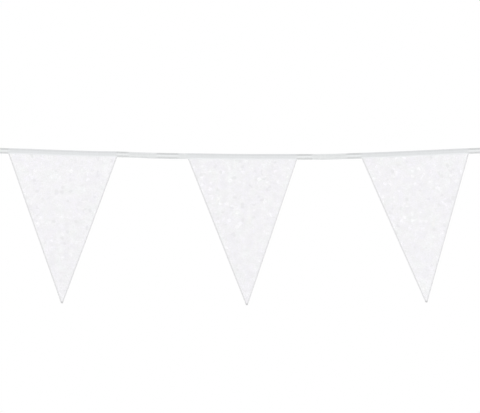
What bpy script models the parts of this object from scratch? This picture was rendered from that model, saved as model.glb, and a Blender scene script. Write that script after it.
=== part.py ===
"""A white glitter bunting: three triangular pennants held in the fold of one long tape.

Run it in Blender 4.5, with blender --background --python part.py or from the text editor.
Units are metres and +Z is up. X runs along the tape, from left to right as seen from the front, and the
front faces -Y. The origin is on the tape's folded top edge, above the middle pennant.
"""

import math
from collections import namedtuple

import bmesh
import bpy

MM = 0.001

# The tape: a woven strip folded lengthwise over the top edges of the pennants
FOLDED_HEIGHT = 10.4 * MM
TAPE_PLY = 1.0 * MM
CLOSED_SLOT = 0.4 * MM
TAPE_LEFT_END = -483.0 * MM
TAPE_RIGHT_END = 478.0 * MM
STRAIGHT_END = 50.0 * MM
STATION_PITCH = 8.0 * MM
BEND_STEPS = 6

# The pennants: sheet coated with glitter, each cut as a triangle with a small blunt tip. Their top edges
# lie FOLD_DROP below the tape's, and they stay flat down to FLAT_BELOW under its hems.
SHEET = 1.0 * MM
CLEARANCE = 0.3 * MM
FOLD_DROP = 2.0 * MM
FLAT_BELOW = 1.2 * MM
TIP_WIDTH = 3.0 * MM
PENNANT_COLUMNS = 12
PENNANT_ROWS = 18

# The share of a pennant's free height over which its cup and its twist come in
CUP_ONSET = 0.4
TWIST_ONSET = 0.5

# How far the slot stays open past a pennant's corner, and how fast it closes from there
OPEN_MARGIN = STATION_PITCH
CLOSING_LENGTH = 14.0 * MM

# The tape's slow wave forwards and backwards, which dies out over FADE_LENGTH before its straight ends
WAVE_DEPTH = 1.4 * MM
WAVE_LENGTH = 410.0 * MM
FADE_LENGTH = 100.0 * MM


def in_metres(row):
    """The same table row with its millimetres turned into metres."""
    sizes = {field: value * MM for field, value in row._asdict().items() if field != "name"}
    return row._replace(**sizes)


# The height of the tape's top edge along its length, in millimetres: it sags between its two held ends
Sag = namedtuple("Sag", "x top")
SAG_TABLE = (
    Sag(x=-483.0, top=12.5),
    Sag(x=-410.0, top=10.2),
    Sag(x=-337.0, top=7.6),
    Sag(x=-264.0, top=5.3),
    Sag(x=-223.0, top=4.6),
    Sag(x=-150.0, top=2.1),
    Sag(x=-73.0, top=0.9),
    Sag(x=0.0, top=0.0),
    Sag(x=91.0, top=0.0),
    Sag(x=156.0, top=0.2),
    Sag(x=229.0, top=2.4),
    Sag(x=284.0, top=4.4),
    Sag(x=351.0, top=7.5),
    Sag(x=412.0, top=10.3),
    Sag(x=478.0, top=12.6),
)
TAPE_SAG = [in_metres(row) for row in SAG_TABLE]

# The pennants in millimetres. left and right are the top corners, hidden in the fold. The last three are
# depths: swing at the tip, cup at mid-width and twist at the side edges. A negative one comes forward.
Pennant = namedtuple("Pennant", "name left right tip_x tip_z swing cup twist")
PENNANT_TABLE = (
    Pennant("pennant_left", -426.8, -221.8, -325.4, -273.0, swing=-4.0, cup=-3.0, twist=2.0),
    Pennant("pennant_middle", -98.6, 107.4, 12.6, -276.9, swing=3.0, cup=-2.5, twist=-1.6),
    Pennant("pennant_right", 218.9, 421.2, 340.1, -271.2, swing=-5.5, cup=3.0, twist=-2.4),
)
PENNANTS = [in_metres(row) for row in PENNANT_TABLE]

# Where the tape rolls about its own length, between the pennants
Roll = namedtuple("Roll", "x half_length angle")
TAPE_ROLLS = (
    Roll(-183.0 * MM, 36.0 * MM, math.radians(16.0)),
    Roll(177.0 * MM, 34.0 * MM, math.radians(-15.0)),
)

OPEN_SLOT = SHEET + 2.0 * CLEARANCE
GRIP_DEPTH = FOLDED_HEIGHT - FOLD_DROP + FLAT_BELOW


def lerp(a, b, t):
    """The value a share t of the way from a to b."""
    return a + (b - a) * t


def ease(t):
    """A soft step from 0 to 1, flat at both ends."""
    t = min(max(t, 0.0), 1.0)
    return t * t * (3.0 - 2.0 * t)


def sag_slope(i):
    """The slope of the top edge at row i of TAPE_SAG, from its neighbours."""
    before = TAPE_SAG[max(i - 1, 0)]
    after = TAPE_SAG[min(i + 1, len(TAPE_SAG) - 1)]
    return (after.top - before.top) / (after.x - before.x)


def tape_top(x):
    """The height of the tape's folded edge at x, on a smooth curve through TAPE_SAG."""
    i = 0
    while i < len(TAPE_SAG) - 2 and x > TAPE_SAG[i + 1].x:
        i += 1
    here = TAPE_SAG[i]
    there = TAPE_SAG[i + 1]
    run = there.x - here.x
    t = (x - here.x) / run
    start = sag_slope(i) * run
    finish = sag_slope(i + 1) * run
    rise = there.top - here.top
    square = 3.0 * rise - 2.0 * start - finish
    cube = start + finish - 2.0 * rise
    return here.top + t * (start + t * (square + t * cube))


def tape_depth(x):
    """How far back the tape's middle layer lies at x."""
    room = min(x - TAPE_LEFT_END, TAPE_RIGHT_END - x) - STRAIGHT_END
    fade = ease(room / FADE_LENGTH)
    return WAVE_DEPTH * fade * math.sin(2.0 * math.pi * x / WAVE_LENGTH)


def tape_roll(x):
    """The angle by which the folded tape leans at x."""
    angle = 0.0
    for roll in TAPE_ROLLS:
        reach = abs(x - roll.x) / roll.half_length
        if reach < 1.0:
            angle += roll.angle * math.cos(0.5 * math.pi * reach) ** 2
    return angle


def slot_width(x):
    """The room between the tape's two plies at x: open round a pennant, nearly shut elsewhere."""
    share = 0.0
    for pennant in PENNANTS:
        outside = max(pennant.left - x, x - pennant.right) - OPEN_MARGIN
        share = max(share, 1.0 - ease(outside / CLOSING_LENGTH))
    return lerp(CLOSED_SLOT, OPEN_SLOT, share)


def fold_section(slot):
    """The middle of the folded strip as (y, z) points, from the front hem over the bend to the back hem."""
    radius = 0.5 * (slot + TAPE_PLY)
    bend_centre = -0.5 * TAPE_PLY - radius
    points = [(-radius, -FOLDED_HEIGHT)]
    for step in range(BEND_STEPS + 1):
        angle = math.pi * (1.0 - step / BEND_STEPS)
        points.append((radius * math.cos(angle), bend_centre + radius * math.sin(angle)))
    points.append((radius, -FOLDED_HEIGHT))
    return points


def lean(y, z, angle):
    """Turns a point of the section by angle about the middle of the folded tape."""
    pivot = -0.5 * FOLDED_HEIGHT
    rise = z - pivot
    return y * math.cos(angle) - rise * math.sin(angle), pivot + y * math.sin(angle) + rise * math.cos(angle)


def mapped_grid(name, columns, rows, place):
    """A grid of faces whose every vertex is put where place(column, row) says."""
    bm = bmesh.new()
    bmesh.ops.create_grid(bm, x_segments=columns, y_segments=rows, size=0.5)
    for vert in bm.verts:
        column = round((vert.co.x + 0.5) * columns)
        row = round((vert.co.y + 0.5) * rows)
        vert.co = place(column, row)
    mesh = bpy.data.meshes.new(name)
    bm.to_mesh(mesh)
    bm.free()
    return mesh


def thicken(piece, thickness):
    """Gives an open sheet its thickness, half of it on each side."""
    shell = piece.modifiers.new("Thickness", "SOLIDIFY")
    shell.thickness = thickness
    shell.offset = 0.0
    shell.use_even_offset = True


def add_piece(name, mesh, material, collection):
    """Puts a mesh in the collection as a smooth shaded object with its own material."""
    mesh.materials.append(material)
    mesh.shade_smooth()
    piece = bpy.data.objects.new(name, mesh)
    collection.objects.link(piece)
    return piece


def plain_material(name, colour, roughness):
    """A Principled material with one colour."""
    material = bpy.data.materials.new(name)
    material.use_nodes = True
    shader = material.node_tree.nodes["Principled BSDF"]
    shader.inputs["Base Color"].default_value = (*colour, 1.0)
    shader.inputs["Roughness"].default_value = roughness
    shader.inputs["Metallic"].default_value = 0.0
    return material


def build_tape(collection):
    """The folded tape, one strip from end to end."""
    length = TAPE_RIGHT_END - TAPE_LEFT_END
    stations = round(length / STATION_PITCH)

    def place(column, row):
        x = lerp(TAPE_LEFT_END, TAPE_RIGHT_END, column / stations)
        y, z = fold_section(slot_width(x))[row]
        y, z = lean(y, z, tape_roll(x))
        return x, tape_depth(x) + y, tape_top(x) + z

    mesh = mapped_grid("tape", stations, BEND_STEPS + 2, place)
    tape = add_piece("tape", mesh, plain_material("woven_tape", (0.86, 0.88, 0.88), 0.6), collection)
    thicken(tape, TAPE_PLY)
    return tape


def pennant_point(pennant, across, down, share):
    """A point of a pennant's middle surface.

    across runs from 0 at the left edge to 1 at the right, down from 0 at the top edge to 1 at the tip, and
    share is how much of the part below the tape lies above the point.
    """
    top_x = lerp(pennant.left, pennant.right, across)
    tip_x = pennant.tip_x + (across - 0.5) * TIP_WIDTH
    x = lerp(top_x, tip_x, down)
    z = lerp(tape_top(top_x) - FOLD_DROP, pennant.tip_z, down)
    side = 2.0 * across - 1.0
    swing = pennant.swing * share ** 2
    cup = pennant.cup * (1.0 - side * side) * ease(share / CUP_ONSET) * (1.0 - share)
    twist = pennant.twist * side * ease(share / TWIST_ONSET) * (1.0 - share)
    return x, tape_depth(x) + swing + cup + twist, z


def build_pennant(pennant, collection):
    """One pennant: flat where the tape grips it, and softly cupped and turned below."""
    height = tape_top(0.5 * (pennant.left + pennant.right)) - FOLD_DROP - pennant.tip_z
    grip = GRIP_DEPTH / height

    def place(column, row):
        # Row 0 is the tip and the last two rows are the gripped strip along the top edge
        share = 1.0 - row / (PENNANT_ROWS - 1)
        down = 0.0 if row == PENNANT_ROWS else lerp(grip, 1.0, share)
        return pennant_point(pennant, column / PENNANT_COLUMNS, down, max(share, 0.0))

    mesh = mapped_grid(pennant.name, PENNANT_COLUMNS, PENNANT_ROWS, place)
    material = plain_material(f"{pennant.name}_glitter", (0.90, 0.90, 0.92), 0.4)
    piece = add_piece(pennant.name, mesh, material, collection)
    thicken(piece, SHEET)
    return piece


def main():
    for old in list(bpy.data.objects):
        bpy.data.objects.remove(old, do_unlink=True)
    collection = bpy.data.collections.new("glitter_bunting")
    bpy.context.scene.collection.children.link(collection)
    build_tape(collection)
    for pennant in PENNANTS:
        build_pennant(pennant, collection)


main()
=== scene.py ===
# %% [markdown]
# # White glitter bunting
# Three pennants cut from glitter sheet hang in the fold of one long woven tape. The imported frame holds
# their true shapes and sizes. This lesson dresses it: finer sheets on the same surfaces, thousands of loose
# flakes, a woven tape with its seam, and materials made only from nodes.

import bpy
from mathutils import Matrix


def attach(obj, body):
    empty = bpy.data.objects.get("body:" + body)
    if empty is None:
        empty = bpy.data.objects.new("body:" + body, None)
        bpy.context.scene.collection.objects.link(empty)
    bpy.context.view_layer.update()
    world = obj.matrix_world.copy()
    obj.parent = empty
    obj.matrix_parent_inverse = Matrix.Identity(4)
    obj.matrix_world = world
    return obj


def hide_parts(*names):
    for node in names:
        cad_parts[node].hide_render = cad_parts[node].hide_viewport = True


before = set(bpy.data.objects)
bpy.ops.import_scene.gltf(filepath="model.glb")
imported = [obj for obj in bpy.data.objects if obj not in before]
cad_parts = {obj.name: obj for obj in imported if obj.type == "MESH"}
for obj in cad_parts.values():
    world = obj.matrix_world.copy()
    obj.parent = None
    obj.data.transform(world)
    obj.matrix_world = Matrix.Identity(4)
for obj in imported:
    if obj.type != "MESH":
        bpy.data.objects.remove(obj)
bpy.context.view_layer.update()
print("frame nodes:", sorted(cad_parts))

# %% Tools for the lesson
import math
from collections import namedtuple

import bmesh
import bpy
from mathutils import Matrix, Vector

MM = 0.001


def lerp(a, b, t):
    """The value a share t of the way from a to b."""
    return a + (b - a) * t


def ease(t):
    """A soft step from 0 to 1, flat at both ends."""
    t = min(max(t, 0.0), 1.0)
    return t * t * (3.0 - 2.0 * t)


# %% [markdown]
# ## The camera
# The picture is square on to the bunting and level with its middle, with no lean in either direction. A long
# lens keeps the three pennants the same size. Its distance follows from the width that the view has to span.

# %% The camera
PIXEL = 1.83 * MM
PICTURE = (480, 413)
ORIGIN_PIXEL = (240.0, 153.95)
LENS = 85.0
SENSOR = 36.0

view_width = PICTURE[0] * PIXEL
view_distance = view_width * LENS / SENSOR
view_x = (0.5 * PICTURE[0] - ORIGIN_PIXEL[0]) * PIXEL
view_z = (ORIGIN_PIXEL[1] - 0.5 * PICTURE[1]) * PIXEL

lens = bpy.data.cameras.new("level_long_lens")
lens.lens = LENS
lens.sensor_width = SENSOR
lens.sensor_fit = "HORIZONTAL"
lens.dof.use_dof = False
camera = bpy.data.objects.new("level_long_lens", lens)
bpy.context.scene.collection.objects.link(camera)
camera.location = (view_x, -view_distance, view_z)
camera.rotation_euler = (math.radians(90.0), 0.0, 0.0)
bpy.context.scene.camera = camera
print(f"camera {view_distance:.3f} m in front, view {view_width:.3f} m wide")

# %% [markdown]
# ## The studio
# A white thing on white needs an even, bright room: the outline must come from faint greys only. The room
# itself is a white sky. What lights the cloth is a little dimmer than what the eye sees behind it, and big
# soft panels add the direction that makes single flakes glint. A pale floor lies far below.

# %% The studio
SKY_SEEN = 1.0
SKY_LIGHT = 0.835


def white_sky():
    """A world that is pure white to look at and slightly dimmer as a light."""
    world = bpy.data.worlds.new("white_sky")
    world.use_nodes = True
    tree = world.node_tree
    shade = tree.nodes["Background"]
    shade.inputs["Color"].default_value = (1.0, 1.0, 1.0, 1.0)
    path = tree.nodes.new("ShaderNodeLightPath")
    strength = tree.nodes.new("ShaderNodeMapRange")
    strength.inputs["To Min"].default_value = SKY_LIGHT
    strength.inputs["To Max"].default_value = SKY_SEEN
    tree.links.new(path.outputs["Is Camera Ray"], strength.inputs["Value"])
    tree.links.new(strength.outputs["Result"], shade.inputs["Strength"])
    return world


PANEL_AIM = Vector((0.0, 0.0, -0.12))


def soft_panel(name, location, size, watts):
    """A square area light that faces the middle pennant."""
    light = bpy.data.lights.new(name, "AREA")
    light.shape = "SQUARE"
    light.size = size
    light.energy = watts
    panel = bpy.data.objects.new(name, light)
    bpy.context.scene.collection.objects.link(panel)
    panel.location = location
    aim = PANEL_AIM - Vector(location)
    panel.rotation_euler = aim.to_track_quat("-Z", "Y").to_euler()
    return panel


bpy.context.scene.world = white_sky()
bpy.context.scene.view_settings.view_transform = "Standard"
bpy.context.scene.view_settings.look = "None"
soft_panel("key_panel", (-1.3, -2.2, 0.9), 1.6, 15.0)
soft_panel("fill_panel", (1.6, -2.0, -0.6), 1.8, 12.0)
soft_panel("back_panel", (0.6, 2.2, 1.0), 1.6, 12.0)

# %% The floor
FLOOR_DROP = 2.0
FLOOR_RADIUS = 3.0
FLOOR_PAINT = (0.93, 0.93, 0.93, 1.0)


def pale_floor():
    """A round floor far below the bunting."""
    form = bmesh.new()
    bmesh.ops.create_circle(form, cap_ends=True, segments=96, radius=FLOOR_RADIUS)
    bmesh.ops.translate(form, verts=form.verts, vec=(0.0, 0.0, -FLOOR_DROP))
    mesh = bpy.data.meshes.new("pale_floor")
    form.to_mesh(mesh)
    form.free()
    paint = bpy.data.materials.new("pale_floor")
    paint.use_nodes = True
    shader = paint.node_tree.nodes["Principled BSDF"]
    shader.inputs["Base Color"].default_value = FLOOR_PAINT
    shader.inputs["Roughness"].default_value = 0.8
    mesh.materials.append(paint)
    ground = bpy.data.objects.new("pale_floor", mesh)
    bpy.context.scene.collection.objects.link(ground)
    return ground


pale_floor()
print(f"floor {FLOOR_DROP} m below the tape")

# %% [markdown]
# ## The line that the tape hangs on
# The tape sags a little between its two held ends. Its height is given at a few places and read off a smooth
# curve in between, the same curve that the frame was built on, so the fine sheets land on the plain ones.
# It also drifts forwards and backwards by a millimetre or so, and rolls slightly between the pennants.

# %% The line that the tape hangs on
Sag = namedtuple("Sag", "x top")
SAG_TABLE = (
    Sag(x=-483.0, top=12.5),
    Sag(x=-410.0, top=10.2),
    Sag(x=-337.0, top=7.6),
    Sag(x=-264.0, top=5.3),
    Sag(x=-223.0, top=4.6),
    Sag(x=-150.0, top=2.1),
    Sag(x=-73.0, top=0.9),
    Sag(x=0.0, top=0.0),
    Sag(x=91.0, top=0.0),
    Sag(x=156.0, top=0.2),
    Sag(x=229.0, top=2.4),
    Sag(x=284.0, top=4.4),
    Sag(x=351.0, top=7.5),
    Sag(x=412.0, top=10.3),
    Sag(x=478.0, top=12.6),
)
TAPE_LEFT_END = SAG_TABLE[0].x * MM
TAPE_RIGHT_END = SAG_TABLE[-1].x * MM


def sag_slope(i):
    """The slope of the top edge at row i of the table, from its neighbours."""
    before = SAG_TABLE[max(i - 1, 0)]
    after = SAG_TABLE[min(i + 1, len(SAG_TABLE) - 1)]
    return (after.top - before.top) / (after.x - before.x)


def tape_top(x):
    """The height of the tape's folded edge at x, in metres."""
    i = 0
    while i < len(SAG_TABLE) - 2 and x > SAG_TABLE[i + 1].x * MM:
        i += 1
    here = SAG_TABLE[i]
    there = SAG_TABLE[i + 1]
    run = there.x - here.x
    t = (x / MM - here.x) / run
    start = sag_slope(i) * run
    finish = sag_slope(i + 1) * run
    rise = there.top - here.top
    square = 3.0 * rise - 2.0 * start - finish
    cube = start + finish - 2.0 * rise
    return (here.top + t * (start + t * (square + t * cube))) * MM


print(f"sag of the top edge: {(tape_top(TAPE_LEFT_END) - tape_top(0.0)) / MM:.1f} mm")

# %% Its drift and its rolls
STRAIGHT_END = 50.0 * MM
WAVE_DEPTH = 1.4 * MM
WAVE_LENGTH = 410.0 * MM
FADE_LENGTH = 100.0 * MM
Roll = namedtuple("Roll", "x half_length angle")
TAPE_ROLLS = (
    Roll(-183.0 * MM, 36.0 * MM, math.radians(16.0)),
    Roll(177.0 * MM, 34.0 * MM, math.radians(-15.0)),
)


def tape_depth(x):
    """How far back the tape's middle layer lies at x."""
    room = min(x - TAPE_LEFT_END, TAPE_RIGHT_END - x) - STRAIGHT_END
    return WAVE_DEPTH * ease(room / FADE_LENGTH) * math.sin(2.0 * math.pi * x / WAVE_LENGTH)


def tape_roll(x):
    """The angle by which the folded tape leans at x."""
    angle = 0.0
    for roll in TAPE_ROLLS:
        reach = abs(x - roll.x) / roll.half_length
        if reach < 1.0:
            angle += roll.angle * math.cos(0.5 * math.pi * reach) ** 2
    return angle


left_roll = math.degrees(tape_roll(TAPE_ROLLS[0].x))
print(f"the tape rolls by {left_roll:.0f} degrees at the left")

# %% [markdown]
# ## The shape of a pennant
# A cut sheet that hangs by one edge stays nearly flat, but never quite: its tip swings a little forwards or
# back, its middle cups and its edges turn. Each pennant has its own row of sizes, the same as in the frame.

# %% The shape of a pennant
Pennant = namedtuple("Pennant", "name left right tip_x tip_z swing cup twist")
PENNANT_TABLE = (
    Pennant("left", -426.8, -221.8, -325.4, -273.0, swing=-4.0, cup=-3.0, twist=2.0),
    Pennant("middle", -98.6, 107.4, 12.6, -276.9, swing=3.0, cup=-2.5, twist=-1.6),
    Pennant("right", 218.9, 421.2, 340.1, -271.2, swing=-5.5, cup=3.0, twist=-2.4),
)
FOLDED_HEIGHT = 10.4 * MM
FOLD_DROP = 2.0 * MM
GRIP_DEPTH = 9.6 * MM
TIP_WIDTH = 3.0 * MM
CUP_ONSET = 0.4
TWIST_ONSET = 0.5


def in_metres(row):
    """The same table row with its millimetres turned into metres."""
    sizes = {field: value * MM for field, value in row._asdict().items() if field != "name"}
    return row._replace(**sizes)


PENNANTS = [in_metres(row) for row in PENNANT_TABLE]


def pennant_depth(p, x, z):
    """How far back a pennant's middle layer lies at a point of its front view."""
    top = tape_top(min(max(x, p.left), p.right)) - FOLD_DROP
    down = (top - z) / (top - p.tip_z)
    left = lerp(p.left, p.tip_x - 0.5 * TIP_WIDTH, down)
    right = lerp(p.right, p.tip_x + 0.5 * TIP_WIDTH, down)
    side = (2.0 * x - left - right) / (right - left)
    grip = GRIP_DEPTH / (top - p.tip_z)
    share = min(max((down - grip) / (1.0 - grip), 0.0), 1.0)
    swing = p.swing * share ** 2
    cup = p.cup * (1.0 - side * side) * ease(share / CUP_ONSET) * (1.0 - share)
    twist = p.twist * side * ease(share / TWIST_ONSET) * (1.0 - share)
    return tape_depth(x) + swing + cup + twist


for pennant in PENNANTS:
    height = tape_top(pennant.tip_x) - FOLDED_HEIGHT - pennant.tip_z
    print(pennant.name, f"shows {height / MM:.0f} mm below the tape")

# %% [markdown]
# ## Cutting the sheets
# A maker cuts these with a guillotine, so a pennant is made the same way: a rectangle of small squares is
# trimmed by a plane along each slanted side. More planes just inside the cuts score a narrow border, which
# is painted darker as edge shade. One row of the squares follows the hem of the tape.

# %% Rows and cuts
CELL = 3.0 * MM
GRIP_ROWS = 4
# The border along each cut is painted darker as edge shade.
EDGE_SHADE_BAND = 2.4 * MM
BACK_SLOT, RIM_SLOT = 1, 2
CUT_SNAP = 0.01 * MM
MERGE_REACH = 0.05 * MM


def trim(form, point, outward, drop_outside):
    """Cuts form along the plane through point, and can drop what lies on its outward side."""
    everything = form.verts[:] + form.edges[:] + form.faces[:]
    bmesh.ops.bisect_plane(
        form, geom=everything, dist=CUT_SNAP, plane_co=point, plane_no=outward, clear_outer=drop_outside
    )


def slanted_sides(p):
    """A point on each slanted side, and the direction that looks out of it in the front view."""
    for corner_x, way in ((p.left, -1.0), (p.right, 1.0)):
        top = Vector((corner_x, 0.0, tape_top(corner_x) - FOLD_DROP))
        tip = Vector((p.tip_x + way * 0.5 * TIP_WIDTH, 0.0, p.tip_z))
        along = (tip - top).normalized()
        out = Vector((-along.z, 0.0, along.x))
        yield tip, out if out.x * way > 0.0 else -out


def in_border(p, point):
    """True for a point of the front view in the border of a slanted side or the tip, which is painted as
    edge shade.
    """
    near_side = any((point - tip).dot(out) > -EDGE_SHADE_BAND for tip, out in slanted_sides(p))
    return near_side or point.z < p.tip_z + EDGE_SHADE_BAND


def flat_pennant(p):
    """The trimmed sheet in the XZ plane, facing -Y, with its scored border."""
    columns = round((p.right - p.left) / CELL)
    shown_rows = round(-p.tip_z / CELL)
    rows = shown_rows + GRIP_ROWS
    form = bmesh.new()
    bmesh.ops.create_grid(form, x_segments=columns, y_segments=rows, size=0.5)
    for vert in form.verts:
        row = (vert.co.y + 0.5) * rows
        x = lerp(p.left, p.right, vert.co.x + 0.5)
        hem = tape_top(x) - FOLDED_HEIGHT
        shown_z = lerp(p.tip_z, hem, row / shown_rows)
        grip_z = lerp(hem, tape_top(x) - FOLD_DROP, (row - shown_rows) / GRIP_ROWS)
        vert.co = (x, 0.0, shown_z if row <= shown_rows else grip_z)
    for tip, out in slanted_sides(p):
        trim(form, tip - out * EDGE_SHADE_BAND, out, drop_outside=False)
        trim(form, tip, out, drop_outside=True)
    trim(form, Vector((0.0, 0.0, p.tip_z + EDGE_SHADE_BAND)), Vector((0.0, 0.0, -1.0)), drop_outside=False)
    bmesh.ops.remove_doubles(form, verts=form.verts, dist=MERGE_REACH)
    return form


# %% [markdown]
# ## Hanging the sheets
# Each point of a cut sheet moves forwards or back to where the hanging one lies. A Solidify modifier then
# gives the thickness, half of it on each side, with the plain back and the rim in materials of their own.

# %% Hanging the sheets
SHEET = 0.5 * MM


def hang(form, p):
    """Moves every point of a flat sheet back or forwards to where the hanging one lies."""
    for vert in form.verts:
        vert.co.y += pennant_depth(p, vert.co.x, vert.co.z)


def add_piece(form, name):
    """Turns a form into a smooth shaded object at the origin."""
    mesh = bpy.data.meshes.new(name)
    form.to_mesh(mesh)
    form.free()
    mesh.shade_smooth()
    piece = bpy.data.objects.new(name, mesh)
    bpy.context.scene.collection.objects.link(piece)
    return piece


def apply_modifiers(piece):
    """Puts what the modifiers make into the piece's own mesh."""
    bpy.context.view_layer.update()
    finished = piece.evaluated_get(bpy.context.evaluated_depsgraph_get())
    plain = piece.data
    piece.data = bpy.data.meshes.new_from_object(finished)
    piece.modifiers.clear()
    bpy.data.meshes.remove(plain)
    piece.data.name = piece.name
    return piece


def thicken(piece, thickness):
    """Gives an open sheet its thickness, half of it on each side."""
    shell = piece.modifiers.new("Thickness", "SOLIDIFY")
    shell.thickness = thickness
    shell.offset = 0.0
    shell.use_even_offset = True
    return shell


def cut_pennant(p):
    """One pennant's sheet, and its flat area."""
    form = flat_pennant(p)
    area = sum(face.calc_area() for face in form.faces)
    layer = form.loops.layers.uv.new("sheet")
    for face in form.faces:
        for loop in face.loops:
            loop[layer].uv = (loop.vert.co.x - p.tip_x, loop.vert.co.z - p.tip_z)
        # Faces in the border take the rim finish, a grey painted as edge shade.
        if in_border(p, face.calc_center_median()):
            face.material_index = RIM_SLOT
    hang(form, p)
    piece = add_piece(form, f"sheet_{p.name}")
    shell = thicken(piece, SHEET)
    shell.material_offset = BACK_SLOT
    shell.material_offset_rim = RIM_SLOT
    return piece, area


sheets = {}
areas = {}
for pennant in PENNANTS:
    sheets[pennant.name], areas[pennant.name] = cut_pennant(pennant)
    print(sheets[pennant.name].name, f"{areas[pennant.name] * 1e4:.0f} square centimetres")

# %% [markdown]
# ## Nodes in code
# Nodes are wired by a small helper, for geometry and for materials. It adds a node, fills the inputs that
# are named, with underscores for spaces, and hands back its outputs.

# %% Nodes in code
class NodeSheet:
    """Adds nodes to one tree and joins their sockets."""

    def __init__(self, tree):
        self.tree = tree

    def add(self, kind, settings=(), **inputs):
        """Adds a node, sets its properties, and fills inputs with values or with other nodes' outputs."""
        node = self.tree.nodes.new(kind)
        for name, value in settings:
            setattr(node, name, value)
        for name, value in inputs.items():
            socket = self.socket(node, name)
            if isinstance(value, bpy.types.NodeSocket):
                self.tree.links.new(value, socket)
            else:
                socket.default_value = value
        return node

    def socket(self, node, name):
        """The input in use that has this name, or for v0, v1 and v2 the input at that place."""
        if name in ("v0", "v1", "v2"):
            return node.inputs[int(name[1])]
        return [s for s in node.inputs if s.name.replace(" ", "_") == name and s.enabled][0]

    def out(self, node, name=None):
        """The output in use that has this name, or the first one in use."""
        shown = [s for s in node.outputs if s.enabled]
        return shown[0] if name is None else [s for s in shown if s.name == name][0]

    def math(self, operation, a, b=0.0, c=0.0):
        """The result of a Math node."""
        return self.out(self.add("ShaderNodeMath", [("operation", operation)], v0=a, v1=b, v2=c))

    def vector(self, operation, a, b=(0.0, 0.0, 0.0)):
        """The result of a Vector Math node."""
        return self.out(self.add("ShaderNodeVectorMath", [("operation", operation)], v0=a, v1=b))

    def scale(self, vector, factor):
        """A vector or colour times a number."""
        return self.out(self.add("ShaderNodeVectorMath", [("operation", "SCALE")], v0=vector, Scale=factor))

    def blend(self, share, a, b):
        """The mix of two colours."""
        return self.out(self.add("ShaderNodeMix", [("data_type", "RGBA")], Factor=share, A=a, B=b))


def step_between(nodes, value, start, finish):
    """0 below start, 1 above finish, and a soft change between them."""
    settings = [("interpolation_type", "SMOOTHSTEP")]
    limits = {"From_Min": start, "From_Max": finish}
    return nodes.out(nodes.add("ShaderNodeMapRange", settings, Value=value, **limits), "Result")


print("node helper ready")

# %% [markdown]
# ## One flake
# Glitter is film chopped into hexagons and glued down, each leaning its own way. One flake is a flat
# six-sided prism, here a little over a millimetre across. It has its own small UV layout, with the two faces
# beside each other and the rim above them.

# %% One flake
FLAKE_RADIUS = 0.62 * MM
FLAKE_THICKNESS = 0.06 * MM


def cut_flake():
    """One hexagonal flake, lying flat at the origin."""
    form = bmesh.new()
    form.loops.layers.uv.new("flake_layout")
    bmesh.ops.create_cone(
        form,
        cap_ends=True,
        segments=6,
        radius1=FLAKE_RADIUS,
        radius2=FLAKE_RADIUS,
        depth=FLAKE_THICKNESS,
        calc_uvs=True,
    )
    mesh = bpy.data.meshes.new("flake")
    form.to_mesh(mesh)
    form.free()
    return bpy.data.objects.new("flake", mesh)


flake = cut_flake()
faces_per_flake = len(flake.data.polygons)
print(f"a flake has {faces_per_flake} faces")

# %% [markdown]
# ## Scattering the flakes
# Geometry Nodes scatters copies of the flake over the front of each sheet, evenly but at random. Each one is
# spun, tilted and sized by chance and gets a random tone and tint. The copies are then made real, so each
# pennant has one joined mesh of glitter. Each flake has its own square of the layout, which keeps their
# colours apart when it is stored as an image.

# %% Scatter settings
FLAKE_GAP = 1.14 * MM
FLAKE_DENSITY = 1000000.0
FLAKE_TILT = math.radians(8.0)
FLAKE_SMALL, FLAKE_LARGE = 0.75, 1.25
FLAKE_RISE = 0.10 * MM
LAYOUT_SIDE = 100
LAYOUT_MARGIN = 0.04


def random_value(nodes, kind, seed, low, high):
    """The output of a Random Value node."""
    pick = nodes.add("FunctionNodeRandomValue", [("data_type", kind)], Min=low, Max=high, Seed=seed)
    return nodes.out(pick)


def store(nodes, geometry, kind, domain, name, value):
    """The geometry with one more named attribute."""
    settings = [("data_type", kind), ("domain", domain)]
    node = nodes.add("GeometryNodeStoreNamedAttribute", settings, Geometry=geometry, Name=name, Value=value)
    return nodes.out(node)


def read(nodes, kind, name):
    """The values of a named attribute."""
    return nodes.out(nodes.add("GeometryNodeInputNamedAttribute", [("data_type", kind)], Name=name))


# %% The scatter nodes
def place_flakes(nodes, ground, seed):
    """Copies of the flake as instances, tilted, spun and sized by chance."""
    points = nodes.add(
        "GeometryNodeDistributePointsOnFaces",
        [("distribute_method", "POISSON")],
        Mesh=ground,
        Distance_Min=FLAKE_GAP,
        Density_Max=FLAKE_DENSITY,
        Seed=seed,
    )
    low = (-FLAKE_TILT, -FLAKE_TILT, 0.0)
    high = (FLAKE_TILT, FLAKE_TILT, math.tau)
    angles = random_value(nodes, "FLOAT_VECTOR", seed + 1, low, high)
    turn = nodes.out(nodes.add("FunctionNodeEulerToRotation", Euler=angles))
    facing = nodes.add(
        "FunctionNodeRotateRotation",
        [("rotation_space", "LOCAL")],
        Rotation=nodes.out(points, "Rotation"),
        Rotate_By=turn,
    )
    placed = nodes.add(
        "GeometryNodeInstanceOnPoints",
        Points=nodes.out(points, "Points"),
        Instance=nodes.out(nodes.add("GeometryNodeObjectInfo", Object=flake), "Geometry"),
        Rotation=nodes.out(facing),
        Scale=random_value(nodes, "FLOAT", seed + 2, FLAKE_SMALL, FLAKE_LARGE),
    )
    return nodes.out(placed)


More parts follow.
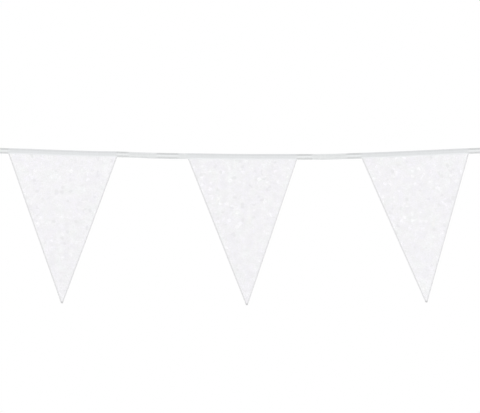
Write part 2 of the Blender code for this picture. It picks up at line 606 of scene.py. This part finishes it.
def scatter_tree(seed):
    """Geometry nodes that turn a sheet into loose flakes lying on it."""
    tree = bpy.data.node_groups.new(f"scatter_flakes_{seed}", "GeometryNodeTree")
    tree.interface.new_socket("Geometry", in_out="INPUT", socket_type="NodeSocketGeometry")
    tree.interface.new_socket("Geometry", in_out="OUTPUT", socket_type="NodeSocketGeometry")
    nodes = NodeSheet(tree)
    geometry = place_flakes(nodes, nodes.add("NodeGroupInput").outputs[0], seed)
    for number, name in enumerate(("tone", "tint")):
        value = random_value(nodes, "FLOAT", seed + 3 + number, 0.0, 1.0)
        geometry = store(nodes, geometry, "FLOAT", "INSTANCE", name, value)
    index = nodes.out(nodes.add("GeometryNodeInputIndex"))
    column = nodes.math("MODULO", index, LAYOUT_SIDE)
    row = nodes.math("FLOOR", nodes.math("DIVIDE", index, LAYOUT_SIDE))
    square = nodes.out(nodes.add("ShaderNodeCombineXYZ", X=column, Y=row))
    geometry = store(nodes, geometry, "FLOAT_VECTOR", "INSTANCE", "square", square)
    geometry = nodes.out(nodes.add("GeometryNodeRealizeInstances", Geometry=geometry))
    own_layout = read(nodes, "FLOAT_VECTOR", "flake_layout")
    shrunk = nodes.vector("MULTIPLY", own_layout, (1.0 - 2.0 * LAYOUT_MARGIN,) * 3)
    centred = nodes.vector("ADD", shrunk, (LAYOUT_MARGIN,) * 3)
    moved = nodes.vector("ADD", centred, read(nodes, "FLOAT_VECTOR", "square"))
    layout = nodes.vector("DIVIDE", moved, (LAYOUT_SIDE,) * 3)
    geometry = store(nodes, geometry, "FLOAT2", "CORNER", "OFBake", layout)
    tree.links.new(geometry, nodes.add("NodeGroupOutput").inputs[0])
    return tree


# %% The glitter of each pennant
COAT_START = 0.6 * MM


def coat_area(p):
    """The front of a hanging sheet where glitter shows: inside the border and below the tape."""
    form = flat_pennant(p)
    bare = []
    for face in form.faces:
        centre = face.calc_center_median()
        if centre.z > tape_top(centre.x) - FOLDED_HEIGHT or in_border(p, centre):
            bare.append(face)
    bmesh.ops.delete(form, geom=bare, context="FACES")
    for vert in form.verts:
        vert.co.z = min(vert.co.z, tape_top(vert.co.x) - FOLDED_HEIGHT - COAT_START)
    hang(form, p)
    bmesh.ops.translate(form, verts=form.verts, vec=(0.0, -0.5 * SHEET - FLAKE_RISE, 0.0))
    return add_piece(form, f"glitter_{p.name}")


def scatter_flakes(p, seed):
    """The joined flakes of one pennant, which take the place of the area they lie on."""
    piece = coat_area(p)
    scatter = piece.modifiers.new("Scatter", "NODES")
    scatter.node_group = scatter_tree(seed)
    mesh = apply_modifiers(piece).data
    mesh.shade_flat()
    mesh.uv_layers.remove(mesh.uv_layers["flake_layout"])
    mesh.attributes.remove(mesh.attributes["square"])
    return piece


glitter = {}
for number, pennant in enumerate(PENNANTS):
    glitter[pennant.name] = scatter_flakes(pennant, seed=20 + 10 * number)
    mesh = glitter[pennant.name].data
    print(mesh.name, len(mesh.polygons) // faces_per_flake, "flakes")
bpy.data.objects.remove(flake)

# %% [markdown]
# ## The folded tape
# The tape is one narrow woven strip, folded lengthwise like bias binding. Its section is a hairpin: a ply in
# front, a tight bend, a ply behind. The section is swept along the sag, opening a little where a pennant
# fills it. A vertex weight makes the two selvedges a touch thicker than the rest, as woven edges are.

# %% The section of the tape
TAPE_PLY = 0.36 * MM
CLOSED_SLOT = 0.14 * MM
OPEN_SLOT = SHEET + 0.16 * MM
BEND_STEPS = 10
PLY_STEPS = 10


def fold_section(slot, drop_front, drop_back):
    """The middle of the folded strip as (y, z) points, from the front hem over the bend to the back hem."""
    radius = 0.5 * (slot + TAPE_PLY)
    bend = -0.5 * TAPE_PLY - radius
    points = []
    for step in range(PLY_STEPS):
        points.append((-radius, lerp(-FOLDED_HEIGHT - drop_front, bend, step / PLY_STEPS)))
    for step in range(BEND_STEPS + 1):
        angle = math.pi * (1.0 - step / BEND_STEPS)
        points.append((radius * math.cos(angle), bend + radius * math.sin(angle)))
    for step in range(PLY_STEPS):
        points.append((radius, lerp(bend, -FOLDED_HEIGHT - drop_back, (step + 1) / PLY_STEPS)))
    return points


def lengths_along(points):
    """The distance from the first point to each one, measured along them."""
    total = 0.0
    lengths = [total]
    for (y0, z0), (y1, z1) in zip(points, points[1:]):
        total += math.hypot(y1 - y0, z1 - z0)
        lengths.append(total)
    return lengths


strip_lengths = lengths_along(fold_section(CLOSED_SLOT, 0.0, 0.0))
STRIP_WIDTH = strip_lengths[-1]
print(f"the strip is {STRIP_WIDTH / MM:.1f} mm wide before folding")

# %% The way of the tape
OPEN_MARGIN = 2.0 * MM
CLOSING_LENGTH = 14.0 * MM
HEM_WANDER = 0.12 * MM
SLOW_RIPPLE, QUICK_RIPPLE = 31.0 * MM, 12.7 * MM


def pennant_share(x, margin, change):
    """1 over a pennant, 0 away from it, with a soft change that starts at a margin outside its corners."""
    share = 0.0
    for p in PENNANTS:
        outside = max(p.left - x, x - p.right) - margin
        share = max(share, 1.0 - ease(outside / change))
    return share


def slot_width(x):
    """The room between the two plies at x."""
    return lerp(CLOSED_SLOT, OPEN_SLOT, pennant_share(x, OPEN_MARGIN, CLOSING_LENGTH))


def hem_drop(x, way):
    """How far a hem wanders from its straight line, in front for way -1 and behind for way 1."""
    return HEM_WANDER * (math.sin(x / SLOW_RIPPLE + way) + 0.6 * math.sin(x / QUICK_RIPPLE + 2.0 * way))


def tape_point(x, y, z):
    """A point of the section at x, leaned about its middle and carried to the sagging line."""
    angle = tape_roll(x)
    pivot = -0.5 * FOLDED_HEIGHT
    rise = z - pivot
    leaned_y = y * math.cos(angle) - rise * math.sin(angle)
    leaned_z = pivot + y * math.sin(angle) + rise * math.cos(angle)
    return Vector((x, tape_depth(x) + leaned_y, tape_top(x) + leaned_z))


# %% The folded tape
STATION_PITCH = 2.5 * MM
SELVEDGE_STEPS = 1
BODY_SHARE = 0.75
BACKING_MARGIN = -7.0 * MM
BACKING_CHANGE = 7.0 * MM
Slack = namedtuple("Slack", "x half_length")
SLACK_STRETCHES = (
    Slack(-178.5 * MM, 26.5 * MM),
    Slack(-103.0 * MM, 9.5 * MM),
    Slack(163.5 * MM, 31.5 * MM),
)
SLACK_CHANGE = 7.0 * MM


def sharpness(x):
    """1 where the tape is pressed sharp and its painted shade lines are strong, 0 where it has relaxed."""
    nearest = min(abs(x - slack.x) - slack.half_length for slack in SLACK_STRETCHES)
    return ease(nearest / SLACK_CHANGE + 0.5)


def fold_tape():
    """The folded strip from end to end."""
    stations = round((TAPE_RIGHT_END - TAPE_LEFT_END) / STATION_PITCH)
    across = 2 * PLY_STEPS + BEND_STEPS
    form = bmesh.new()
    strip = form.loops.layers.uv.new("strip")
    backing = form.verts.layers.float.new("backing")
    pressed = form.verts.layers.float.new("pressed")
    weights = form.verts.layers.deform.new()
    bmesh.ops.create_grid(form, x_segments=stations, y_segments=across, size=0.5, calc_uvs=True)
    for face in form.faces:
        for loop in face.loops:
            u, v = loop[strip].uv
            loop[strip].uv = (lerp(TAPE_LEFT_END, TAPE_RIGHT_END, u), strip_lengths[round(v * across)])
    for vert in form.verts:
        row = round((vert.co.y + 0.5) * across)
        x = lerp(TAPE_LEFT_END, TAPE_RIGHT_END, vert.co.x + 0.5)
        y, z = fold_section(slot_width(x), hem_drop(x, -1.0), hem_drop(x, 1.0))[row]
        vert.co = tape_point(x, y, z)
        # These two attributes choose which table of the tape's painted shade and light holds.
        vert[backing] = pennant_share(x, BACKING_MARGIN, BACKING_CHANGE)
        vert[pressed] = sharpness(x)
        vert[weights][0] = 1.0 if min(row, across - row) <= SELVEDGE_STEPS else 0.0
    piece = add_piece(form, "folded_tape")
    piece.vertex_groups.new(name="selvedge")
    shell = thicken(piece, TAPE_PLY)
    shell.vertex_group = "selvedge"
    shell.thickness_vertex_group = BODY_SHARE
    return piece


tape = fold_tape()
print(tape.name, len(tape.data.polygons), "faces before its thickness")

# %% [markdown]
# ## The seam
# A row of short stitches just above the hems closes the fold and holds the pennants. A stitch is a grain of
# thread: a small ball stretched along the seam, half sunk in the ply, in front and behind.

# %% The seam
STITCH_LENGTH = 2.3 * MM
STITCH_PITCH = 3.0 * MM
THREAD = 0.34 * MM
SEAM_HEIGHT = 2.6 * MM
SEAM_MARGIN = 4.0 * MM
SUNK_SHARE = 0.8


def straight_seam(count):
    """A straight row of stitches along X, one in front and one behind at each place, as a piece."""
    form = bmesh.new()
    form.loops.layers.uv.new("thread")
    stretch = Matrix.Diagonal((0.5 * STITCH_LENGTH, 0.5 * THREAD, 0.5 * THREAD, 1.0))
    along_x = Matrix.Rotation(math.radians(90.0), 4, "Y")
    for way in (-1.0, 1.0):
        place = Matrix.Translation((0.0, way * THREAD, 0.0)) @ stretch @ along_x
        bmesh.ops.create_uvsphere(
            form, u_segments=6, v_segments=6, radius=1.0, matrix=place, calc_uvs=True
        )
    piece = add_piece(form, "seam_stitches")
    row = piece.modifiers.new("Row", "ARRAY")
    row.count = count
    row.use_relative_offset = False
    row.use_constant_offset = True
    row.constant_offset_displace = (STITCH_PITCH, 0.0, 0.0)
    return apply_modifiers(piece)


def sew_seam():
    """The row of stitches, bent to lie on the tape's two plies."""
    length = TAPE_RIGHT_END - TAPE_LEFT_END - 2.0 * SEAM_MARGIN
    count = round(length / STITCH_PITCH)
    piece = straight_seam(count)
    first = TAPE_LEFT_END + SEAM_MARGIN + 0.5 * STITCH_PITCH
    for vert in piece.data.vertices:
        x, y, z = vert.co
        way = math.copysign(1.0, y)
        surface = 0.5 * (slot_width(first + x) + TAPE_PLY + BODY_SHARE * TAPE_PLY)
        sunk = y - way * SUNK_SHARE * THREAD
        vert.co = tape_point(first + x, way * surface + sunk, z + SEAM_HEIGHT - FOLDED_HEIGHT)
    return piece, 2 * count


stitches, stitch_count = sew_seam()
print(stitches.name, stitch_count, "stitches")

# %% [markdown]
# ## Shared effects
# What more than one finish needs is a node group with named sockets: a cloudy unevenness, small patches of
# painted glint and painted shade, and the pearly white of glitter film. The facets of fine glitter and the
# over and under of threads are groups too, because each is easier to read as one node with a name.

# %% A group with named sockets
VALUE, COLOUR, VECTOR = "NodeSocketFloat", "NodeSocketColor", "NodeSocketVector"


def start_group(name, inputs, outputs):
    """An empty shader group: its node helper, its input node and its output node."""
    tree = bpy.data.node_groups.new(name, "ShaderNodeTree")
    for label, kind in inputs:
        tree.interface.new_socket(label, in_out="INPUT", socket_type=kind)
    for label, kind in outputs:
        tree.interface.new_socket(label, in_out="OUTPUT", socket_type=kind)
    nodes = NodeSheet(tree)
    return nodes, nodes.add("NodeGroupInput").outputs, nodes.add("NodeGroupOutput").inputs


def use_group(nodes, tree, **inputs):
    """A node in a material that stands for a group."""
    return nodes.add("ShaderNodeGroup", [("node_tree", tree)], **inputs)


# %% Cloudy unevenness
def cloud_group():
    """A soft tone between Low and High, in patches of a given size."""
    nodes, given, made = start_group(
        "cloudy_tone",
        [("Vector", VECTOR), ("Patch Size", VALUE), ("Low", VALUE), ("High", VALUE)],
        [("Tone", VALUE)],
    )
    noise = nodes.add(
        "ShaderNodeTexNoise",
        Vector=given["Vector"],
        Scale=nodes.math("DIVIDE", 1.0, given["Patch Size"]),
        Detail=2.0,
        Roughness=0.6,
    )
    spread = {"From_Min": 0.3, "From_Max": 0.7, "To_Min": given["Low"], "To_Max": given["High"]}
    tone = nodes.add("ShaderNodeMapRange", Value=nodes.out(noise), **spread)
    nodes.tree.links.new(nodes.out(tone), made["Tone"])
    return nodes.tree


# %% Facets of fine glitter
def facet_group():
    """Cells with a random tone and tint each, and a normal that tips a different way in each."""
    nodes, given, made = start_group(
        "glitter_facets",
        [("Vector", VECTOR), ("Facet Size", VALUE), ("Tip", VALUE)],
        [("Tone", VALUE), ("Tint", VALUE), ("Normal", VECTOR)],
    )
    cells = nodes.add(
        "ShaderNodeTexVoronoi",
        Vector=given["Vector"],
        Scale=nodes.math("DIVIDE", 1.0, given["Facet Size"]),
    )
    colour = nodes.out(cells, "Color")
    parts = nodes.add("ShaderNodeSeparateColor", Color=colour)
    tipped = nodes.scale(nodes.vector("SUBTRACT", colour, (0.5, 0.5, 0.5)), given["Tip"])
    facing = nodes.out(nodes.add("ShaderNodeNewGeometry"), "Normal")
    normal = nodes.vector("NORMALIZE", nodes.vector("ADD", facing, tipped))
    nodes.tree.links.new(nodes.out(parts, "Red"), made["Tone"])
    nodes.tree.links.new(nodes.out(parts, "Green"), made["Tint"])
    nodes.tree.links.new(normal, made["Normal"])
    return nodes.tree


# %% Painted glints
def painted_glint_group():
    """Small patches here and there painted lighter as a glint or darker as shade, each by its own amount."""
    nodes, given, made = start_group(
        "glint_patches",
        [("Vector", VECTOR), ("Patch Size", VALUE), ("Share", VALUE), ("Lighter", VALUE), ("Darker", VALUE)],
        [("Accent", VALUE)],
    )
    cells = nodes.add(
        "ShaderNodeTexVoronoi",
        Vector=given["Vector"],
        Scale=nodes.math("DIVIDE", 1.0, given["Patch Size"]),
    )
    parts = nodes.add("ShaderNodeSeparateColor", Color=nodes.out(cells, "Color"))
    chance = nodes.out(parts, "Red")
    light = nodes.math("LESS_THAN", chance, given["Share"])
    dark = nodes.math("GREATER_THAN", chance, nodes.math("SUBTRACT", 1.0, given["Share"]))
    lighter = nodes.math("MULTIPLY", light, given["Lighter"])
    darker = nodes.math("MULTIPLY", dark, given["Darker"])
    accent = nodes.math("MULTIPLY", nodes.math("SUBTRACT", lighter, darker), nodes.out(parts, "Green"))
    nodes.tree.links.new(accent, made["Accent"])
    return nodes.tree


# %% Pearly white
PEARL_STOPS = (
    (0.00, (0.988, 0.960, 1.000)),
    (0.30, (0.964, 0.955, 0.998)),
    (0.55, (0.979, 0.969, 0.993)),
    (0.80, (0.963, 0.975, 0.988)),
    (1.00, (1.000, 0.981, 0.970)),
)


def pearl_group():
    """The white of glitter film: its hue follows Tint, its brightness goes from Dark to Light with Tone."""
    nodes, given, made = start_group(
        "pearly_white",
        [("Tone", VALUE), ("Tint", VALUE), ("Dark", VALUE), ("Light", VALUE)],
        [("Color", COLOUR)],
    )
    ramp = nodes.add("ShaderNodeValToRGB", Fac=given["Tint"])
    stops = ramp.color_ramp.elements
    while len(stops) < len(PEARL_STOPS):
        stops.new(0.5)
    for stop, (place, colour) in zip(stops, PEARL_STOPS):
        stop.position = place
        stop.color = (*colour, 1.0)
    limits = {"To_Min": given["Dark"], "To_Max": given["Light"]}
    level = nodes.add("ShaderNodeMapRange", Value=given["Tone"], **limits)
    nodes.tree.links.new(nodes.scale(nodes.out(ramp), nodes.out(level)), made["Color"])
    return nodes.tree


# %% Over and under
def weave_group():
    """Threads that cross over and under at a given pitch, in metres of the UV map, with painted shade in the
    dips.
    """
    nodes, given, made = start_group(
        "over_and_under",
        [("Vector", VECTOR), ("Pitch", VALUE)],
        [("Height", VALUE), ("Tone", VALUE)],
    )
    parts = nodes.add("ShaderNodeSeparateXYZ", Vector=given["Vector"])
    turn = nodes.math("DIVIDE", math.tau, given["Pitch"])
    along = nodes.math("SINE", nodes.math("MULTIPLY", nodes.out(parts, "X"), turn))
    across = nodes.math("SINE", nodes.math("MULTIPLY", nodes.out(parts, "Y"), turn))
    height = nodes.math("MULTIPLY_ADD", nodes.math("MULTIPLY", along, across), 0.5, 0.5)
    threads = nodes.vector("MULTIPLY", given["Vector"], (900.0, 60.0, 1.0))
    uneven = nodes.add("ShaderNodeTexNoise", Vector=threads, Scale=1.0, Detail=1.0)
    # Painted shade: where a thread dips under, its tone is up to 6 per cent darker.
    weave_recess_shade = nodes.math("MULTIPLY_ADD", height, 0.06, 0.92)
    tone = nodes.math("MULTIPLY_ADD", nodes.out(uneven), 0.10, weave_recess_shade)
    nodes.tree.links.new(height, made["Height"])
    nodes.tree.links.new(tone, made["Tone"])
    return nodes.tree


cloudy_tone = cloud_group()
glitter_facets = facet_group()
glint_patches = painted_glint_group()
pearly_white = pearl_group()
over_and_under = weave_group()
print("groups:", [g.name for g in bpy.data.node_groups if g.bl_idname == "ShaderNodeTree"])

# %% [markdown]
# ## Glitter
# The eye sees glitter in three sizes. Loose flakes take a tone and a tint each from their own attributes.
# Between them lies the fine coat, whose facets are only in the material. In both, a cloudy field gathers
# light and dark ones, and here and there a patch a few millimetres across gets a painted glint, lighter, or
# painted shade, darker, in its colour. Such patches are commonest in the upper half, as glints are when the
# light comes from above. Flakes and coat are partly metal, so that they pick up the panels.

# %% A material to fill
def start_material(name, roughness, metallic=0.0):
    """A material with its node helper and its Principled shader."""
    material = bpy.data.materials.new(name)
    material.use_nodes = True
    shader = material.node_tree.nodes["Principled BSDF"]
    shader.inputs["Roughness"].default_value = roughness
    shader.inputs["Metallic"].default_value = metallic
    return material, NodeSheet(material.node_tree), shader.inputs


def object_place(nodes):
    """The place on the piece in metres."""
    return nodes.out(nodes.add("ShaderNodeTexCoord"), "Object")


def bump(nodes, height, depth):
    """A normal from a height between 0 and 1 that stands depth metres tall."""
    return nodes.out(nodes.add("ShaderNodeBump", Strength=1.0, Distance=depth, Height=height))


# %% What the flakes and the coat share
CLOUD_SIZE = 12.0 * MM
TINT_SIZE = 26.0 * MM
CLOUD_SHARE = 0.34
OWN_TINT, CLOUD_TINT = 0.15, 0.80
# Patches of painted glint and painted shade: their size, their share from top to tip, and how far they paint
# the colour lighter or darker.
PAINTED_GLINT_SIZE = 5.0 * MM
TOP_PAINTED_GLINTS, TIP_PAINTED_GLINTS = 0.078, 0.025
FADE_FROM, FADE_TO = -120.0 * MM, -180.0 * MM
PAINTED_GLINT_LIGHTER, PAINTED_GLINT_DARKER = 0.55, 0.58


def gathered(nodes, own, cloud_size, own_share, cloud_share):
    """A value between 0 and 1 from each flake's own value and a cloud that gathers like ones together."""
    middle = 0.5 - 0.5 * (own_share + cloud_share)
    place = object_place(nodes)
    cloud = use_group(nodes, cloudy_tone, Vector=place, Patch_Size=cloud_size, Low=0.0, High=1.0)
    alone = nodes.math("MULTIPLY_ADD", own, own_share, middle)
    return nodes.math("MULTIPLY_ADD", nodes.out(cloud), cloud_share, alone)


def painted_glint_share(nodes, place):
    """The share of patches with a painted glint or shade: larger near the top, where light falls, than at
    the tip.
    """
    height = nodes.out(nodes.add("ShaderNodeSeparateXYZ", Vector=place), "Z")
    limits = {"From_Min": FADE_TO, "From_Max": FADE_FROM, "To_Min": TIP_PAINTED_GLINTS, "To_Max": TOP_PAINTED_GLINTS}
    return nodes.out(nodes.add("ShaderNodeMapRange", Value=height, **limits), "Result")


def glitter_tone(nodes, own, own_share):
    """The tone of a flake or facet: partly its own, partly that of its surroundings, plus any painted glint
    or shade.
    """
    field = gathered(nodes, own, CLOUD_SIZE, own_share, CLOUD_SHARE)
    place = object_place(nodes)
    painted_glints = use_group(
        nodes,
        glint_patches,
        Vector=place,
        Patch_Size=PAINTED_GLINT_SIZE,
        Share=painted_glint_share(nodes, place),
        Lighter=PAINTED_GLINT_LIGHTER,
        Darker=PAINTED_GLINT_DARKER,
    )
    return nodes.math("ADD", field, nodes.out(painted_glints))


# %% Loose flakes
FLAKE_SHARE = 0.20
FLAKE_DARK, FLAKE_LIGHT = 0.806, 0.992


def flake_material():
    """Glitter film: a random pearly white for each flake."""
    material, nodes, shader = start_material("glitter_flakes", roughness=0.34, metallic=0.5)
    own = nodes.out(nodes.add("ShaderNodeAttribute", [("attribute_name", "tone")]), "Fac")
    tint = nodes.out(nodes.add("ShaderNodeAttribute", [("attribute_name", "tint")]), "Fac")
    tone = glitter_tone(nodes, own, FLAKE_SHARE)
    hue = gathered(nodes, tint, TINT_SIZE, OWN_TINT, CLOUD_TINT)
    pearl = use_group(nodes, pearly_white, Tone=tone, Tint=hue, Dark=FLAKE_DARK, Light=FLAKE_LIGHT)
    nodes.tree.links.new(nodes.out(pearl), shader["Base Color"])
    return material


# %% The fine coat
FACET_SHARE = 0.45
FACET_SIZE = 0.36 * MM
COAT_DARK, COAT_LIGHT = 0.796, 0.982


def coat_material():
    """The fine glitter between the flakes."""
    material, nodes, shader = start_material("glitter_coat", roughness=0.60, metallic=0.4)
    place = nodes.out(nodes.add("ShaderNodeUVMap", [("uv_map", "sheet")]))
    facets = use_group(nodes, glitter_facets, Vector=place, Facet_Size=FACET_SIZE, Tip=0.3)
    tone = glitter_tone(nodes, nodes.out(facets, "Tone"), FACET_SHARE)
    hue = gathered(nodes, nodes.out(facets, "Tint"), TINT_SIZE, OWN_TINT, CLOUD_TINT)
    pearl = use_group(nodes, pearly_white, Tone=tone, Tint=hue, Dark=COAT_DARK, Light=COAT_LIGHT)
    nodes.tree.links.new(nodes.out(pearl), shader["Base Color"])
    nodes.tree.links.new(nodes.out(facets, "Normal"), shader["Normal"])
    return material


flake_finish = flake_material()
coat_finish = coat_material()
print("glitter finishes:", flake_finish.name, coat_finish.name)

# %% [markdown]
# ## The back and the cut edge
# The back of the sheet is plain and matt, with the faint cloud of pressed fibre. The rim and the border
# along each cut have no glitter and are painted grey as edge shade, darker still near the tip, where both
# cuts meet. The layout of a sheet starts at its tip, so its length there is the distance from the tip.

# %% The back and the cut edge
BACK_WHITE = (0.90, 0.90, 0.905)
# The grey of the rim and of the border is painted edge shade, darker still near the tip.
EDGE_SHADE_GREY = (0.730, 0.730, 0.740)
TIP_PAINTED_SHADE = 0.78
TIP_REACH = 5.0 * MM


def fibre_and_edge_shade(name, colour, patch, roughness, depth, tip_shade):
    """A matt, faintly cloudy finish, which can be painted darker near the tip as shade."""
    material, nodes, shader = start_material(name, roughness)
    place = nodes.out(nodes.add("ShaderNodeUVMap", [("uv_map", "sheet")]))
    cloud = use_group(nodes, cloudy_tone, Vector=place, Patch_Size=patch, Low=0.96, High=1.03)
    grain = use_group(nodes, cloudy_tone, Vector=place, Patch_Size=0.12 * patch, Low=0.0, High=1.0)
    from_tip = nodes.out(nodes.add("ShaderNodeVectorMath", [("operation", "LENGTH")], v0=place))
    away = step_between(nodes, from_tip, 0.4 * TIP_REACH, TIP_REACH)
    tip_shaded = nodes.math("MULTIPLY_ADD", away, 1.0 - tip_shade, tip_shade)
    tinted = nodes.scale(colour, nodes.math("MULTIPLY", nodes.out(cloud), tip_shaded))
    nodes.tree.links.new(tinted, shader["Base Color"])
    nodes.tree.links.new(bump(nodes, nodes.out(grain), depth), shader["Normal"])
    return material


back_finish = fibre_and_edge_shade("sheet_back", BACK_WHITE, 5.0 * MM, 0.75, 0.05 * MM, tip_shade=1.0)
# The rim finish is painted edge shade.
edge_shade_finish = fibre_and_edge_shade("cut_edge", EDGE_SHADE_GREY, 2.0 * MM, 0.6, 0.04 * MM, tip_shade=TIP_PAINTED_SHADE)
for name, piece in sheets.items():
    for finish in (coat_finish, back_finish, edge_shade_finish):
        piece.data.materials.append(finish)
    glitter[name].data.materials.append(flake_finish)
print("sheets have", [m.name for m in sheets["left"].data.materials])

# %% [markdown]
# ## The woven tape
# The tape is a cool white ribbon with a slight shine, and its colour carries painted shade and light. Where
# it is pressed sharp, painted shade shows the fold and the hem as two darker lines. Where it has relaxed,
# they fade into an even grey. Where a pennant fills it, painted light from the sheet behind brightens it
# towards the hem and only the painted shade at the fold stays. Each state has a table of tones from the fold
# to the hem, and two attributes of the mesh say which one holds. The UV map runs in metres, along the tape
# and across it from the front hem to the back one.

# %% The woven tape
THREAD_PITCH = 0.6 * MM
WEAVE_DEPTH = 0.08 * MM
FREE_TINT = (0.982, 1.000, 1.004)
FILLED_TINT = (0.983, 1.000, 1.014)
Shade = namedtuple("Shade", "from_fold tone")
# Tones across the tape: the dark stops at the fold and the hem are painted shade, and the rise towards the
# hem where a pennant fills the tape is painted light.
PRESSED_PAINTED_SHADES = (
    Shade(0.0, 0.640),
    Shade(1.6, 0.575),
    Shade(2.8, 0.590),
    Shade(3.9, 0.780),
    Shade(6.2, 0.775),
    Shade(7.6, 0.620),
    Shade(8.8, 0.585),
    Shade(10.1, 0.740),
)
SLACK_PAINTED_SHADES = (
    Shade(0.0, 0.740),
    Shade(2.0, 0.706),
    Shade(3.4, 0.690),
    Shade(5.0, 0.728),
    Shade(6.3, 0.738),
    Shade(8.3, 0.690),
    Shade(10.1, 0.760),
)
FILLED_PAINTED_SHADES = (
    Shade(0.0, 0.690),
    Shade(1.2, 0.670),
    Shade(2.7, 0.645),
    Shade(3.7, 0.710),
    Shade(6.4, 0.704),
    Shade(7.3, 0.711),
    Shade(8.2, 0.737),
    Shade(9.2, 0.796),
    Shade(10.1, 0.915),
)


def painted_shades_down(nodes, from_fold, shades, tint):
    """Painted shade and light from the fold down to the hem, with a tone at each distance in millimetres."""
    ramp = nodes.add("ShaderNodeValToRGB", Fac=nodes.math("DIVIDE", from_fold, 0.5 * STRIP_WIDTH))
    stops = ramp.color_ramp.elements
    while len(stops) < len(shades):
        stops.new(0.5)
    for stop, shade in zip(stops, shades):
        stop.position = shade.from_fold * MM / (0.5 * STRIP_WIDTH)
        stop.color = (*(shade.tone * part for part in tint), 1.0)
    return nodes.out(ramp)


def tape_material():
    """Woven ribbon whose painted shade and light depend on how it lies."""
    material, nodes, shader = start_material("woven_tape", roughness=0.5)
    shader["Sheen Weight"].default_value = 0.12
    place = nodes.out(nodes.add("ShaderNodeUVMap", [("uv_map", "strip")]))
    across = nodes.out(nodes.add("ShaderNodeSeparateXYZ", Vector=place), "Y")
    backing = nodes.out(nodes.add("ShaderNodeAttribute", [("attribute_name", "backing")]), "Fac")
    from_fold = nodes.math("ABSOLUTE", nodes.math("SUBTRACT", across, 0.5 * STRIP_WIDTH))
    pressed = nodes.out(nodes.add("ShaderNodeAttribute", [("attribute_name", "pressed")]), "Fac")
    # Each of these colours carries painted shade at the fold and the hem, and the filled one painted light
    # towards the hem.
    relaxed = painted_shades_down(nodes, from_fold, SLACK_PAINTED_SHADES, FREE_TINT)
    free = nodes.blend(pressed, relaxed, painted_shades_down(nodes, from_fold, PRESSED_PAINTED_SHADES, FREE_TINT))
    filled = painted_shades_down(nodes, from_fold, FILLED_PAINTED_SHADES, FILLED_TINT)
    weave = use_group(nodes, over_and_under, Vector=place, Pitch=THREAD_PITCH)
    woven = nodes.scale(nodes.blend(backing, free, filled), nodes.out(weave, "Tone"))
    nodes.tree.links.new(woven, shader["Base Color"])
    nodes.tree.links.new(bump(nodes, nodes.out(weave, "Height"), WEAVE_DEPTH), shader["Normal"])
    return material


# %% The sewing thread
TWIST_PITCH = 4.0 * MM
THREAD_WHITE = (1.0, 1.0, 1.0)


def thread_material():
    """Twisted white thread."""
    material, nodes, shader = start_material("sewing_thread", roughness=0.55)
    shader["Sheen Weight"].default_value = 0.1
    place = object_place(nodes)
    slant = [("bands_direction", "DIAGONAL")]
    twist = nodes.add("ShaderNodeTexWave", slant, Vector=place, Scale=1.0 / TWIST_PITCH)
    cloud = use_group(nodes, cloudy_tone, Vector=place, Patch_Size=9.0 * MM, Low=0.82, High=0.90)
    nodes.tree.links.new(nodes.scale(THREAD_WHITE, nodes.out(cloud)), shader["Base Color"])
    nodes.tree.links.new(bump(nodes, nodes.out(twist, "Fac"), 0.05 * MM), shader["Normal"])
    return material


tape.data.materials.append(tape_material())
stitches.data.materials.append(thread_material())
print("tape finishes:", tape.data.materials[0].name, stitches.data.materials[0].name)

# %% [markdown]
# ## Every piece on its frame
# Each sheet stands for its plain node in the frame, which is hidden, and rides on the one body with its
# glitter. The tape and its stitches ride on it too, in place of the plain tape.

# %% Every piece on its frame
for pennant in PENNANTS:
    piece = sheets[pennant.name]
    coat = glitter[pennant.name]
    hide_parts(f"pennant_{pennant.name}")
    for part in (piece, coat):
        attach(part, "root")

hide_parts("tape")
for part in (tape, stitches):
    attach(part, "root")
